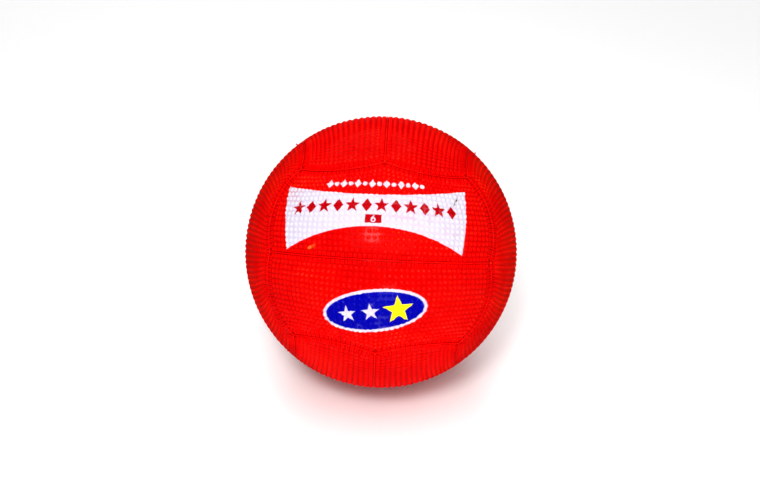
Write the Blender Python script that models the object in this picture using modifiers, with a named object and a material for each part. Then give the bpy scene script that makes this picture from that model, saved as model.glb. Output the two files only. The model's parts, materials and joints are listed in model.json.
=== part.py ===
"""Playground rubber ball, six inches across, built in plies as a nylon-wound ball is.

From the inside out it holds a butyl bladder with its needle valve, a winding of nylon
thread, a carcass of soft rubber and a cover of twelve moulded panels. The origin is the
centre of the ball, +Z is up as it lies, and the printed front of the cover looks to -Y
and up. Units are metres.
"""

import math

import bmesh
import bpy
from mathutils import Matrix, Vector

# --- Driving dimensions -------------------------------------------------------------

BALL_RADIUS = 0.0762          # six inches across, over the pimples of the cover
COVER_WALL = 0.0015
CARCASS_WALL = 0.0007
WINDING_WALL = 0.0005
BLADDER_WALL = 0.0007
PLY_GAP = 0.0003              # clearance that keeps touching pieces apart
COVER_BED_GAP = 0.0005        # under the cover, whose panels have coarser facets

# Each of the six faces of the cover is split along its middle by a seam.
SEAM_HALF_ANGLE = math.radians(49.3)   # from the middle of a seam to its end
EDGE_BULGE = 0.080                     # how far a panel edge bows sideways, in radii
PANEL_LENGTH_CUTS = 12                 # quads along a panel, and across it
PANEL_WIDTH_CUTS = 6
PLY_SUBDIVISIONS = 4

# How the ball lies: its printed front looks up, and is turned a little clockwise.
REST_TILT = math.radians(31.8)
REST_ROLL = math.radians(2.9)
REST_TURN = math.radians(-0.6)

# The valve is in the middle of the upper back panel. Its radii are all about its axis.
VALVE_ELEVATION = math.radians(21.0)
VALVE_STEM_RADIUS = 0.0042
VALVE_FACE_RECESS = 0.00035   # from the top of the pimples down to the valve's flat face
VALVE_FLANGE_RADIUS = 0.0090
VALVE_FLANGE_WALL = 0.0012
PATCH_RADIUS = 0.0140
PATCH_WALL = 0.0005
PLUG_HEAD_RADIUS = 0.0023
PLUG_HEAD_DEPTH = 0.0012
PLUG_NECK_RADIUS = 0.0015
PLUG_BULB_RADIUS = 0.0024
PLUG_BULB_LENGTH = 0.0024
NEEDLE_MOUTH_RADIUS = 0.0009
NEEDLE_RADIUS = 0.00045
NEEDLE_DEPTH = 0.0045
TURNED_STEPS = 32

# --- Radii worked out from them -----------------------------------------------------

COVER_INSIDE = BALL_RADIUS - COVER_WALL
CARCASS_RADIUS = COVER_INSIDE - COVER_BED_GAP
WINDING_RADIUS = CARCASS_RADIUS - CARCASS_WALL - PLY_GAP
BLADDER_RADIUS = WINDING_RADIUS - WINDING_WALL - PLY_GAP
BLADDER_INSIDE = BLADDER_RADIUS - BLADDER_WALL
PATCH_TOP = BLADDER_INSIDE - 2 * PLY_GAP
FLANGE_TOP = PATCH_TOP - PATCH_WALL - PLY_GAP
VALVE_FACE = BALL_RADIUS - VALVE_FACE_RECESS

RED = (0.78, 0.012, 0.010)
BLACK_BUTYL = (0.016, 0.015, 0.015)
GREY_RUBBER = (0.10, 0.095, 0.09)
NYLON = (0.66, 0.62, 0.52)
BROWN_RUBBER = (0.23, 0.07, 0.035)
DARK_RED = (0.30, 0.012, 0.010)


def clear_scene():
    for old in list(bpy.data.objects):
        bpy.data.objects.remove(old, do_unlink=True)


def new_collection(name):
    collection = bpy.data.collections.new(name)
    bpy.context.scene.collection.children.link(collection)
    return collection


def finish(piece, colour, roughness):
    """Give the piece a rubber or thread material of its own."""
    material = bpy.data.materials.new(piece.name + "_finish")
    material.use_nodes = True
    shader = material.node_tree.nodes["Principled BSDF"]
    shader.inputs["Base Color"].default_value = (*colour, 1.0)
    shader.inputs["Roughness"].default_value = roughness
    shader.inputs["Metallic"].default_value = 0.0
    piece.data.materials.append(material)


def adopt(piece, name, collection, parent):
    """Name the object, move it to its collection and hang it on the ball's centre."""
    piece.name = name
    piece.data.name = name
    for old in list(piece.users_collection):
        old.objects.unlink(piece)
    collection.objects.link(piece)
    piece.parent = parent


def bore(piece, cutter):
    """Cut the valve's hole through a ply."""
    cut = piece.modifiers.new("valve_hole", "BOOLEAN")
    cut.operation = "DIFFERENCE"
    cut.solver = "EXACT"
    cut.object = cutter


def thicken(piece, wall):
    """Turn an outer skin into a wall that grows inwards."""
    shell = piece.modifiers.new("wall", "SOLIDIFY")
    shell.thickness = wall
    shell.offset = -1.0
    shell.use_even_offset = True


# --- Cover panels -------------------------------------------------------------------

def arc_point(start, end, share):
    """Point on the great circle from start to end."""
    angle = start.angle(end)
    near = math.sin((1.0 - share) * angle)
    far = math.sin(share * angle)
    return (near * start + far * end) / math.sin(angle)


def bowed_point(start, end, owner, share):
    """Point on a panel edge, which bows away from the face that owns it."""
    side = start.cross(end).normalized()
    if side.dot(owner) > 0.0:
        side.negate()
    bow = EDGE_BULGE * 4.0 * share * (1.0 - share)
    return (arc_point(start, end, share) + bow * side).normalized()


def panel_point(face, across, along_share, across_share):
    """Unit direction of a place on the panel that lies on one side of a face's seam.

    face and across are unit axes: the middle of the face, and the way from its seam to
    the panel. along_share runs from -1 to 1 with the seam, across_share from 0 on the
    seam to 1 on the far edge. The place is blended from the four bowed edges.
    """
    along = across.cross(face)
    seam_angle = along_share * SEAM_HALF_ANGLE
    seam = math.cos(seam_angle) * face + math.sin(seam_angle) * along
    apex = math.cos(SEAM_HALF_ANGLE) * across + math.sin(SEAM_HALF_ANGLE) * face

    def corner(sign):
        return (face + sign * along + across).normalized()

    def seam_end(sign):
        return math.cos(SEAM_HALF_ANGLE) * face + sign * math.sin(SEAM_HALF_ANGLE) * along

    half = 1.0 if along_share >= 0.0 else -1.0
    far_edge = bowed_point(apex, corner(half), across, abs(along_share))
    blend = (1.0 - across_share) * seam + across_share * far_edge
    for sign in (-1.0, 1.0):
        weight = (1.0 + sign * along_share) / 2.0
        side = bowed_point(seam_end(sign), corner(sign), face, across_share)
        straight = (1.0 - across_share) * seam_end(sign) + across_share * corner(sign)
        blend += weight * (side - straight)
    return blend.normalized()


def make_panel(name, face, across, collection, parent):
    """Wrap a flat grid on to the sphere and give it the cover's wall."""
    bpy.ops.mesh.primitive_grid_add(
        x_subdivisions=PANEL_LENGTH_CUTS, y_subdivisions=PANEL_WIDTH_CUTS, size=2.0)
    panel = bpy.context.object
    half_length = BALL_RADIUS * SEAM_HALF_ANGLE
    width = BALL_RADIUS * (math.pi / 2.0 - SEAM_HALF_ANGLE)
    trim_along = PLY_GAP / 2.0 / half_length
    trim_across = PLY_GAP / 2.0 / width
    for vertex in panel.data.vertices:
        along_share = vertex.co.x * (1.0 - trim_along)
        across_share = trim_across + (vertex.co.y + 1.0) / 2.0 * (1.0 - 2.0 * trim_across)
        vertex.co = BALL_RADIUS * panel_point(face, across, along_share, across_share)
    adopt(panel, name, collection, parent)
    thicken(panel, COVER_WALL)
    panel.data.shade_smooth()
    finish(panel, RED, 0.45)
    return panel


# Each face: its name, its middle, the way across its seam, and its two sides' names.
FACES = (
    ("front", Vector((0, -1, 0)), Vector((0, 0, 1)), ("upper", "lower")),
    ("back", Vector((0, 1, 0)), Vector((0, 0, 1)), ("upper", "lower")),
    ("top", Vector((0, 0, 1)), Vector((1, 0, 0)), ("right", "left")),
    ("bottom", Vector((0, 0, -1)), Vector((1, 0, 0)), ("right", "left")),
    ("left", Vector((-1, 0, 0)), Vector((0, 1, 0)), ("back", "front")),
    ("right", Vector((1, 0, 0)), Vector((0, 1, 0)), ("back", "front")),
)


def make_cover(collection, parent):
    """Make the twelve panels, two on each face."""
    panels = {}
    for face_name, face, across, side_names in FACES:
        for direction, side_name in zip((1.0, -1.0), side_names):
            name = "panel_" + face_name + "_" + side_name
            panels[name] = make_panel(name, face, direction * across, collection, parent)
    return panels


# --- Inner plies --------------------------------------------------------------------

def make_ply(name, radius, wall, colour, roughness, collection, parent):
    """A closed ply: a fine sphere with a wall, opened later by the valve's hole."""
    bpy.ops.mesh.primitive_ico_sphere_add(subdivisions=PLY_SUBDIVISIONS, radius=radius)
    ply = bpy.context.object
    adopt(ply, name, collection, parent)
    thicken(ply, wall)
    ply.data.shade_smooth()
    finish(ply, colour, roughness)
    return ply


# --- Valve --------------------------------------------------------------------------

def drop(radius, sphere):
    """Height on a sphere about the centre, at this distance from the valve's axis."""
    return math.sqrt(sphere * sphere - radius * radius)


def make_turned(name, profile, closed, colour, roughness, collection, parent):
    """Turn a profile of (radius, height) points about the valve's axis."""
    mesh = bpy.data.meshes.new(name)
    points = [(radius, 0.0, height) for radius, height in profile]
    edges = [(index, index + 1) for index in range(len(points) - 1)]
    if closed:
        edges.append((len(points) - 1, 0))
    mesh.from_pydata(points, edges, [])
    piece = bpy.data.objects.new(name, mesh)
    collection.objects.link(piece)
    piece.parent = parent
    turn = piece.modifiers.new("turn", "SCREW")
    turn.axis = "Z"
    turn.angle = 2.0 * math.pi
    turn.steps = TURNED_STEPS
    turn.render_steps = TURNED_STEPS
    turn.use_merge_vertices = True
    turn.merge_threshold = 0.00001
    turn.use_smooth_shade = False
    finish(piece, colour, roughness)
    return piece


def patch_profile():
    """A dished washer glued inside the bladder, around its hole."""
    hole = VALVE_STEM_RADIUS + PLY_GAP
    middle = (hole + PATCH_RADIUS) / 2.0
    upper = [(radius, drop(radius, PATCH_TOP)) for radius in (hole, middle, PATCH_RADIUS)]
    under = PATCH_TOP - PATCH_WALL
    lower = [(radius, drop(radius, under)) for radius in (PATCH_RADIUS, middle, hole)]
    return upper + lower


def housing_profile():
    """The valve's body: a flange under the patch and a stem that reaches the cover."""
    head_bore = PLUG_HEAD_RADIUS + PLY_GAP
    neck_bore = PLUG_NECK_RADIUS + PLY_GAP
    bulb_bore = PLUG_BULB_RADIUS + PLY_GAP
    ledge = VALVE_FACE - PLUG_HEAD_DEPTH - PLY_GAP
    flange_rim = drop(VALVE_FLANGE_RADIUS, FLANGE_TOP)
    flange_foot = flange_rim - VALVE_FLANGE_WALL
    chamber_top = flange_foot + VALVE_FLANGE_WALL
    return [
        (head_bore, VALVE_FACE),
        (VALVE_STEM_RADIUS, VALVE_FACE),
        (VALVE_STEM_RADIUS, drop(VALVE_STEM_RADIUS, FLANGE_TOP)),
        (VALVE_FLANGE_RADIUS, flange_rim),
        (VALVE_FLANGE_RADIUS, flange_foot),
        (bulb_bore, flange_foot),
        (bulb_bore, chamber_top),
        (neck_bore, chamber_top + (bulb_bore - neck_bore)),
        (neck_bore, ledge),
        (head_bore, ledge),
    ]


def plug_profile():
    """The soft plug: a head in the face, a neck, and a bulb that keeps it in."""
    head_foot = VALVE_FACE - PLUG_HEAD_DEPTH
    bulb_top = drop(VALVE_FLANGE_RADIUS, FLANGE_TOP) - PLY_GAP
    shoulder = bulb_top + (PLUG_BULB_RADIUS - PLUG_NECK_RADIUS)
    bulb_foot = bulb_top - PLUG_BULB_LENGTH
    needle_end = VALVE_FACE - NEEDLE_DEPTH
    return [
        (0.0, needle_end - NEEDLE_RADIUS),
        (NEEDLE_RADIUS, needle_end),
        (NEEDLE_RADIUS, VALVE_FACE - NEEDLE_MOUTH_RADIUS),
        (NEEDLE_MOUTH_RADIUS, VALVE_FACE),
        (PLUG_HEAD_RADIUS, VALVE_FACE),
        (PLUG_HEAD_RADIUS, head_foot),
        (PLUG_NECK_RADIUS, head_foot),
        (PLUG_NECK_RADIUS, shoulder),
        (PLUG_BULB_RADIUS, bulb_top),
        (PLUG_BULB_RADIUS, bulb_foot + PLUG_BULB_RADIUS / 2.0),
        (PLUG_BULB_RADIUS / 2.0, bulb_foot),
        (0.0, bulb_foot),
    ]


def make_valve_axis(parent):
    """An empty whose +Z is the valve's axis, pointing out of the ball."""
    axis = bpy.data.objects.new("valve_axis", None)
    bpy.context.scene.collection.objects.link(axis)
    axis.parent = parent
    axis.rotation_euler = (VALVE_ELEVATION - math.pi / 2.0, 0.0, 0.0)
    return axis


def make_bore_cutter(collection, axis):
    """A drill along the valve's axis, a clearance wider than its stem."""
    depth = BALL_RADIUS - BLADDER_INSIDE
    bpy.ops.mesh.primitive_cylinder_add(
        vertices=TURNED_STEPS, radius=VALVE_STEM_RADIUS + PLY_GAP, depth=3.0 * depth)
    cutter = bpy.context.object
    adopt(cutter, "valve_bore_cutter", collection, axis)
    cutter.location = (0.0, 0.0, (BALL_RADIUS + BLADDER_INSIDE) / 2.0)
    cutter.hide_render = True
    cutter.display_type = "WIRE"
    return cutter


# --- The ball -----------------------------------------------------------------------

def make_ball():
    clear_scene()
    ball = new_collection("playground_rubber_ball")
    cutters = new_collection("cutters")
    centre = bpy.data.objects.new("ball_centre", None)
    bpy.context.scene.collection.objects.link(centre)
    lie = (Matrix.Rotation(-REST_TILT, 4, "X") @ Matrix.Rotation(REST_ROLL, 4, "Y")
           @ Matrix.Rotation(REST_TURN, 4, "Z"))
    centre.rotation_euler = lie.to_euler()
    valve_axis = make_valve_axis(centre)
    cutter = make_bore_cutter(cutters, valve_axis)

    panels = make_cover(ball, centre)
    bore(panels["panel_back_upper"], cutter)
    plies = (
        ("carcass_rubber", CARCASS_RADIUS, CARCASS_WALL, BROWN_RUBBER, 0.8),
        ("nylon_winding", WINDING_RADIUS, WINDING_WALL, NYLON, 0.6),
        ("bladder", BLADDER_RADIUS, BLADDER_WALL, BLACK_BUTYL, 0.5),
    )
    for name, radius, wall, colour, roughness in plies:
        bore(make_ply(name, radius, wall, colour, roughness, ball, centre), cutter)

    make_turned("valve_patch", patch_profile(), True, GREY_RUBBER, 0.7, ball, valve_axis)
    make_turned("valve_housing", housing_profile(), True, DARK_RED, 0.5, ball, valve_axis)
    make_turned("valve_plug", plug_profile(), False, BLACK_BUTYL, 0.4, ball, valve_axis)


make_ball()
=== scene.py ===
# %% [markdown]
# # A playground rubber ball
#
# The ball is six inches across. Its cover is moulded rubber: twelve panels in pairs, each
# covered with small round pimples and edged with short ribs, and thin beads where the
# panels meet. A white banner, a row of small shapes and an oval badge are printed on its
# front. A rubber valve sits in the back.
#
# The packed CAD model says how big everything is and how the ball lies. This lesson keeps
# its hidden plies, gives them finishes, and makes the cover and the valve again with the
# detail that a closer look asks for.

# %% Load the packed ball
import json
import math
import random

import bpy
from mathutils import Matrix, Vector

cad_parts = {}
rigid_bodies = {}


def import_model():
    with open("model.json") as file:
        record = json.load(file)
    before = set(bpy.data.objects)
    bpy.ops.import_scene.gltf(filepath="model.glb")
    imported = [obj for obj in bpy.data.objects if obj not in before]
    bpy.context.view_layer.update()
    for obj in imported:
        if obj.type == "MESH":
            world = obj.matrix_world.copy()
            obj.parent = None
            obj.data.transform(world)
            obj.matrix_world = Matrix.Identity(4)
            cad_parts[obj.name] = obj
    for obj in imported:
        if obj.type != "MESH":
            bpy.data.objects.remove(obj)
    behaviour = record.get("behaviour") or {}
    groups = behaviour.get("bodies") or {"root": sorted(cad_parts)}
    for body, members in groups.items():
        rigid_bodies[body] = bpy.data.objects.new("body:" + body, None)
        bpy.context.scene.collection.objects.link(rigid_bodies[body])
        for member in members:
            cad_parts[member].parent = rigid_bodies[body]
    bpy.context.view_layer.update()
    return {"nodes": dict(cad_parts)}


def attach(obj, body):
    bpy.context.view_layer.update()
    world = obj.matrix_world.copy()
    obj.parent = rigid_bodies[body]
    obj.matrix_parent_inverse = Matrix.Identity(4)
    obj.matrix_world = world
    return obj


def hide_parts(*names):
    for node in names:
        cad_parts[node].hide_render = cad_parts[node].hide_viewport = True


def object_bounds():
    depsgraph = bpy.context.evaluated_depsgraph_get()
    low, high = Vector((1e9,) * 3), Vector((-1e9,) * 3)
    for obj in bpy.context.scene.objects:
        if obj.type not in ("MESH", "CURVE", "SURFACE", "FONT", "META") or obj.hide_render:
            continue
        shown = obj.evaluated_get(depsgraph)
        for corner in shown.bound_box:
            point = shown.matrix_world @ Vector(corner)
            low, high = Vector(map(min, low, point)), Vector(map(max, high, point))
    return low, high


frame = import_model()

print("nodes:", ", ".join(sorted(frame["nodes"])))

# %% [markdown]
# ## How the ball lies
#
# The ball lies tipped back, so that its printed front looks up at us. Rather than type in
# its angles, we measure them. The middle of each CAD panel's surface is found by weighing
# its faces by area. The two front panels together point out of the front, and the
# difference between them points up the ball. A third axis at right angles to both makes
# the ball's own frame: X to its right, Y to its back and Z to its top.

# %% Measure how the ball lies
def surface_middle(node_name):
    """Middle of a CAD node's surface, with each face weighed by its area."""
    faces = frame["nodes"][node_name].data.polygons
    total = sum((face.area * face.center for face in faces), Vector())
    return total / sum(face.area for face in faces)


upper_middle = surface_middle("panel_front_upper")
lower_middle = surface_middle("panel_front_lower")
back_axis = -(upper_middle + lower_middle).normalized()
up_axis = upper_middle - lower_middle
up_axis = (up_axis - up_axis.dot(back_axis) * back_axis).normalized()
right_axis = back_axis.cross(up_axis)
BALL_TO_WORLD = Matrix((right_axis, back_axis, up_axis)).transposed()

panel_distances = [v.co.length for v in frame["nodes"]["panel_front_upper"].data.vertices]
BALL_RADIUS = max(panel_distances)      # over the tops of the pimples
COVER_INSIDE = min(panel_distances)
print("radius %.5f, inside of the cover %.5f" % (BALL_RADIUS, COVER_INSIDE))
print("tipped by", [round(math.degrees(a), 2) for a in BALL_TO_WORLD.to_euler()])

# %% [markdown]
# ## Working with operators
#
# An operator acts on whatever is selected. These helpers start each step with nothing
# selected, so nothing else is touched by mistake, and they pick parts of a mesh by where
# they are. Smooth shading hides the facets of a curved piece but keeps its sharp edges.

# %% Helpers for modelling
MM = 0.001


def start_clean(piece=None):
    """Leave edit mode and select nothing, or only the piece."""
    if bpy.context.object and bpy.context.object.mode != "OBJECT":
        bpy.ops.object.mode_set(mode="OBJECT")
    bpy.ops.object.select_all(action="DESELECT")
    if piece:
        piece.select_set(True)
        bpy.context.view_layer.objects.active = piece


def edit_selecting(piece, kind, wanted):
    """Go into edit mode with those vertices, edges or polygons selected that are wanted."""
    start_clean(piece)
    mode = {"vertices": "VERT", "edges": "EDGE", "polygons": "FACE"}[kind]
    bpy.ops.object.mode_set(mode="EDIT")
    bpy.ops.mesh.select_mode(type=mode)
    bpy.ops.mesh.select_all(action="DESELECT")
    bpy.ops.object.mode_set(mode="OBJECT")
    for part in getattr(piece.data, kind):
        part.select = wanted(part)
    bpy.ops.object.mode_set(mode="EDIT")


def smooth(piece, degrees=40.0):
    """Shade smoothly, but keep edges sharper than this angle crisp."""
    start_clean(piece)
    bpy.ops.object.shade_smooth_by_angle(angle=math.radians(degrees))


print("sizes are in metres, and a millimetre is", MM)

# %% [markdown]
# ## The shape of a panel
#
# Each of the ball's six faces is split along its middle by a seam, which gives twelve
# panels with five sides. All twelve are the same shape, so one model panel is made in a
# frame of its own: the middle of its face is +Z, its seam runs along X, and the panel lies
# on the +Y side of that seam. The seam is part of a great circle, and it reaches past the
# corners of the face. The other four sides bow a little, as the mould's do. A place on the
# panel is blended from its edges, as a sheet is stretched over a frame.

# %% Where a panel's edges run
SEAM_HALF_ANGLE = math.radians(49.3)   # from the middle of a seam to its end
EDGE_BULGE = 0.080                     # how far a side bows, in radii
FACE, ACROSS, ALONG = Vector((0, 0, 1)), Vector((0, 1, 0)), Vector((1, 0, 0))


def arc_point(start, end, share):
    """Point on the great circle from start to end."""
    angle = start.angle(end)
    near, far = math.sin((1.0 - share) * angle), math.sin(share * angle)
    return (near * start + far * end) / math.sin(angle)


def bowed_point(start, end, owner, share):
    """Point on a side, which bows away from the face that owns it."""
    aside = start.cross(end).normalized()
    if aside.dot(owner) > 0.0:
        aside.negate()
    bow = EDGE_BULGE * 4.0 * share * (1.0 - share)
    return (arc_point(start, end, share) + bow * aside).normalized()


def seam_point(angle):
    return math.cos(angle) * FACE + math.sin(angle) * ALONG


def face_corner(sign):
    return (FACE + sign * ALONG + ACROSS).normalized()


def side_point(sign, share):
    """Point on a short side, from the end of the seam to the corner of the face."""
    return bowed_point(seam_point(sign * SEAM_HALF_ANGLE), face_corner(sign), FACE, share)


def far_point(sign, share):
    """Point on half of the far side, from its middle to the corner of the face."""
    middle = math.cos(SEAM_HALF_ANGLE) * ACROSS + math.sin(SEAM_HALF_ANGLE) * FACE
    return bowed_point(middle, face_corner(sign), ACROSS, share)


def panel_point(along_share, across_share):
    """Place on the panel: from -1 to 1 along the seam, and from 0 to 1 away from it."""
    far = far_point(1.0 if along_share >= 0.0 else -1.0, abs(along_share))
    blend = (1.0 - across_share) * seam_point(along_share * SEAM_HALF_ANGLE)
    blend += across_share * far
    for sign in (-1.0, 1.0):
        straight = (1.0 - across_share) * side_point(sign, 0.0)
        straight += across_share * side_point(sign, 1.0)
        off_straight = side_point(sign, across_share) - straight
        blend += (1.0 + sign * along_share) / 2.0 * off_straight
    return blend.normalized()


print("a seam is %.1f mm long" % (2.0 * SEAM_HALF_ANGLE * BALL_RADIUS / MM))

# %% [markdown]
# Each edge is also traced as a row of points. They say how far any place is from an edge,
# which tells the pimples and the ribs where to stop, and the beads follow them.

# %% Trace the edges
EDGE_STEP = 0.5 * MM


def traced(point_at, start, end):
    """Points along an edge, about half a millimetre apart."""
    length = BALL_RADIUS * point_at(start).angle(point_at(end))
    steps = round(length / EDGE_STEP)
    return [point_at(start + (end - start) * step / steps) for step in range(steps + 1)]


panel_edges = [
    traced(seam_point, -SEAM_HALF_ANGLE, SEAM_HALF_ANGLE),
    traced(lambda share: side_point(1.0, share), 0.0, 1.0),
    traced(lambda share: far_point(1.0, share), 1.0, 0.0),
    traced(lambda share: far_point(-1.0, share), 0.0, 1.0),
    traced(lambda share: side_point(-1.0, share), 1.0, 0.0),
]
panel_middle = panel_point(0.0, 0.5)


def edge_distance(direction, edges):
    """How far a place on the ball is from the nearest of those edges."""
    closest = max(direction.dot(point) for edge in edges for point in edge)
    return BALL_RADIUS * math.acos(min(1.0, closest))


print("edge lengths in mm:", [round(len(edge) * EDGE_STEP / MM, 1) for edge in panel_edges])

# %% [markdown]
# ## The panel's skin
#
# Under the pimples the cover is a smooth rubber skin. It starts as a flat grid. A grid can
# be pulled on to a ball in edit mode with To Sphere, but its edges wouldn't follow the
# seams, so each vertex is sent to its place on the panel instead. A border about three
# millimetres wide lies a little lower, where the ribs will stand. Solidify gives the skin
# the cover's wall, and a bevel rounds the outer rim, which leaves a groove where two panels
# meet.

# %% Make the model skin
SKIN_RADIUS = BALL_RADIUS - 0.58 * MM
SKIN_CUTS_ALONG, SKIN_CUTS_ACROSS = 96, 44
SEAM_GAP = 0.30 * MM
RIM_ROUNDING = 0.62 * MM
BORDER_SUNK, BORDER_INNER, BORDER_OUTER = 0.15 * MM, 3.9 * MM, 2.6 * MM


def border_drop(direction):
    """How far the skin is sunk at a place: nothing inside, all of it near the edges."""
    inner_part = BORDER_INNER - edge_distance(direction, panel_edges)
    share = inner_part / (BORDER_INNER - BORDER_OUTER)
    return BORDER_SUNK * min(1.0, max(0.0, share))


start_clean()
bpy.ops.mesh.primitive_grid_add(x_subdivisions=SKIN_CUTS_ALONG,
                                y_subdivisions=SKIN_CUTS_ACROSS, size=2.0)
skin = bpy.context.object
trim_along = SEAM_GAP / 2.0 / (SKIN_RADIUS * SEAM_HALF_ANGLE)
trim_across = SEAM_GAP / 2.0 / (SKIN_RADIUS * (math.pi / 2.0 - SEAM_HALF_ANGLE))
for vertex in skin.data.vertices:
    along_share = vertex.co.x * (1.0 - trim_along)
    across_share = trim_across + (vertex.co.y + 1.0) / 2.0 * (1.0 - 2.0 * trim_across)
    direction = panel_point(along_share, across_share)
    vertex.co = (SKIN_RADIUS - border_drop(direction)) * direction
wall = skin.modifiers.new("wall", "SOLIDIFY")
wall.thickness = SKIN_RADIUS - COVER_INSIDE
wall.offset = -1.0
wall.use_even_offset = True
bpy.ops.object.modifier_apply(modifier="wall")

edit_selecting(skin, "edges", lambda edge: False)
bpy.ops.mesh.edges_select_sharp(sharpness=math.radians(60.0))
bpy.ops.object.mode_set(mode="OBJECT")
halfway = (SKIN_RADIUS + COVER_INSIDE) / 2.0
rim_edges = {
    edge.index for edge in skin.data.edges
    if edge.select and all(skin.data.vertices[i].co.length > halfway for i in edge.vertices)
}
edit_selecting(skin, "edges", lambda edge: edge.index in rim_edges)
bpy.ops.mesh.bevel(offset=RIM_ROUNDING, segments=3, profile=0.55)
smooth(skin, 50.0)
print("skin:", len(skin.data.polygons), "faces,", len(rim_edges), "rim edges rounded")

# %% [markdown]
# ## One pimple
#
# A pimple is a low dome. The top of a UV sphere has just the right rings of faces, so a
# sphere is cut by a plane with Bisect, which throws away the rest and fills the cut. The
# cut is made a little below the skin, so that the dome's rim is sunk in the rubber and
# leaves no gap. There are thousands of them, so each has only a few dozen faces.

# %% Make the model pimple
PIMPLE_RADIUS = 1.22 * MM
PIMPLE_HEIGHT = 0.56 * MM
PIMPLE_SUNK = 0.18 * MM
dome_radius = (PIMPLE_RADIUS ** 2 + PIMPLE_HEIGHT ** 2) / (2.0 * PIMPLE_HEIGHT)

start_clean()
bpy.ops.mesh.primitive_uv_sphere_add(segments=12, ring_count=11, radius=dome_radius)
pimple = bpy.context.object
bpy.ops.object.mode_set(mode="EDIT")
bpy.ops.mesh.select_all(action="SELECT")
foot = dome_radius - PIMPLE_HEIGHT - PIMPLE_SUNK
bpy.ops.mesh.bisect(plane_co=(0, 0, foot), plane_no=(0, 0, 1), clear_inner=True,
                    use_fill=True)
bpy.ops.mesh.select_all(action="SELECT")
bpy.ops.transform.translate(value=(0, 0, PIMPLE_HEIGHT - dome_radius))
smooth(pimple)
print("pimple:", len(pimple.data.polygons), "faces")

# %% [markdown]
# ## Where the pimples stand
#
# The mould's pimples stand in 15 rows and 43 columns. The rows follow the seam at one end
# and the far side at the other, and the columns swing from one short side to the other, so
# the whole lattice bends with the panel, and its diagonals look like leaves where the ball
# turns away. The blend that gave the skin its shape gives the places too. The columns are
# a little closer in the middle, and each pimple is a touch off its place, as in a mould
# that was drilled by hand.

# %% Choose the places of the pimples
PIMPLE_ROWS, PIMPLE_COLUMNS = 15, 43
FIRST_ROW, LAST_ROW = 0.086, 0.884      # shares of the way across the panel
OUTER_COLUMN = 0.917                    # share of the way along the half seam
EDGE_MARGIN = 3.9 * MM
CLOSER_MIDDLE = 0.03                    # how much closer the middle columns are
DRIFT = 0.03                            # how far a pimple may be off, in spacings


def standing(outward, along, distance):
    """Matrix that stands something on the ball: its Z outwards and its X along."""
    z_axis = outward.normalized()
    x_axis = (along - along.dot(z_axis) * z_axis).normalized()
    place = Matrix((x_axis, z_axis.cross(x_axis), z_axis)).transposed().to_4x4()
    place.translation = distance * z_axis
    return place


drift = random.Random(6)
pimple_places = []
for row in range(PIMPLE_ROWS):
    for column in range(PIMPLE_COLUMNS):
        side = 2.0 * (column + drift.uniform(-DRIFT, DRIFT)) / (PIMPLE_COLUMNS - 1) - 1.0
        rise = (row + drift.uniform(-DRIFT, DRIFT)) / (PIMPLE_ROWS - 1)
        spread = (1.0 - CLOSER_MIDDLE) * side + CLOSER_MIDDLE * side ** 3
        place = panel_point(OUTER_COLUMN * spread,
                            FIRST_ROW + rise * (LAST_ROW - FIRST_ROW))
        if edge_distance(place, panel_edges) > EDGE_MARGIN:
            pimple_places.append(standing(place, ALONG, SKIN_RADIUS))
print("pimples on a panel:", len(pimple_places))

# %% [markdown]
# ## The ribs beside the seams
#
# Between the last pimples and the edge runs a comb of short ribs, more than two for each
# pimple, at right angles to the edge. One rib is a cube with its upper edges bevelled. At
# a corner of the panel two combs meet, so each rib stops where it comes as close to another
# side as it is to its own, like the mitre of a picture frame. The pimples start further
# from the far sides than from the seam, and the ribs there are longer.

# %% Make the model rib
RIB_PITCH = 1.27 * MM
RIB_START = 0.72 * MM        # from the edge, as are the three ends below
SEAM_RIB_END, SHORT_SIDE_RIB_END, FAR_SIDE_RIB_END = 2.8 * MM, 3.4 * MM, 3.8 * MM
RIB_WIDTH, RIB_HEIGHT, RIB_SUNK = 0.82 * MM, 0.40 * MM, 0.45 * MM
RIB_ROUNDING = 0.27 * MM
rib_length = SEAM_RIB_END - RIB_START

start_clean()
bpy.ops.mesh.primitive_cube_add(size=1.0)
rib = bpy.context.object
bpy.ops.object.mode_set(mode="EDIT")
bpy.ops.mesh.select_all(action="SELECT")
bpy.ops.transform.resize(value=(rib_length, RIB_WIDTH, RIB_HEIGHT + RIB_SUNK))
bpy.ops.transform.translate(value=(0, 0, (RIB_HEIGHT - RIB_SUNK) / 2.0))
edit_selecting(rib, "polygons", lambda face: face.normal.z > 0.9)
bpy.ops.mesh.select_mode(type="EDGE")
bpy.ops.mesh.bevel(offset=RIB_ROUNDING, segments=2)
smooth(rib, 60.0)
print("rib:", len(rib.data.polygons), "faces")

# %% Choose the places of the ribs
REACH_STEP = 0.1 * MM
MITRE_GAP = 0.45 * MM        # kept clear between two combs at a corner
SHORTEST_RIB = 0.6 * MM


def rib_places_on(edge, others, rib_end):
    """Matrices for the ribs along one edge, each with its own length."""
    places = []
    count = round(len(edge) * EDGE_STEP / RIB_PITCH)
    for number in range(count):
        index = round((number + 0.5) / count * (len(edge) - 1))
        index = min(max(index, 1), len(edge) - 2)
        root = edge[index]
        inward = root.cross(edge[index + 1] - edge[index - 1]).normalized()
        if inward.dot(panel_middle) < 0.0:
            inward.negate()
        reach = RIB_START
        while reach < rib_end:
            ahead = (root + (reach + REACH_STEP) / BALL_RADIUS * inward).normalized()
            if edge_distance(ahead, others) < reach + MITRE_GAP:
                break
            reach += REACH_STEP
        if reach > RIB_START + SHORTEST_RIB:
            middle = root + (RIB_START + reach) / 2.0 / BALL_RADIUS * inward
            stretch = (reach - RIB_START) / rib_length
            places.append(standing(middle, inward, SKIN_RADIUS)
                          @ Matrix.Diagonal((stretch, 1.0, 1.0, 1.0)))
    return places


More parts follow.
